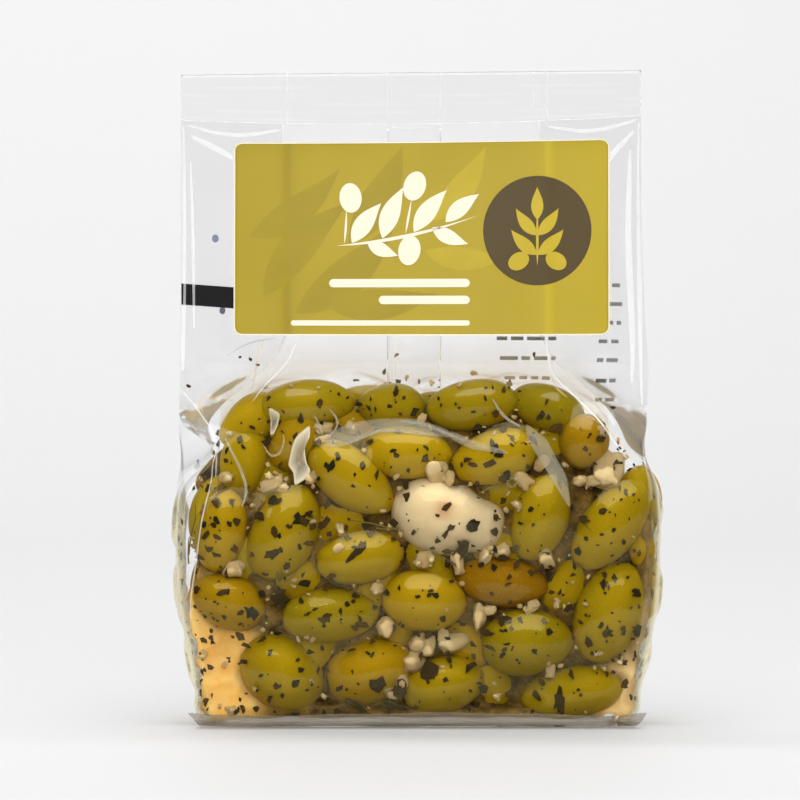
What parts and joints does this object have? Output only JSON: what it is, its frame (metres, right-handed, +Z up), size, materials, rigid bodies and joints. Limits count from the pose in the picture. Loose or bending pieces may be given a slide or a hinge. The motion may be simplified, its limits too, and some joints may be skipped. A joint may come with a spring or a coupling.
{
  "type": "sealed clear bag of marinated olives",
  "caption": "Clear side-gusseted bag, sealed at top and bottom, filled in its lower half with marinated green olives and garlic, with a plain label; stands on its base.",
  "frame": {"origin": "middle of the flat base, on the surface the bag stands on", "axes": "+X to the right along the front panel, +Y to the back, so the label faces -Y, +Z up"},
  "size_m": [0.1291, 0.0451, 0.1716],
  "materials": {
    "bag": "clear glossy film over olives in oil",
    "label": "satin printed label"
  },
  "bodies": {
    "root": {"bag": "bag", "label": "label"}
  },
  "joints": []
}
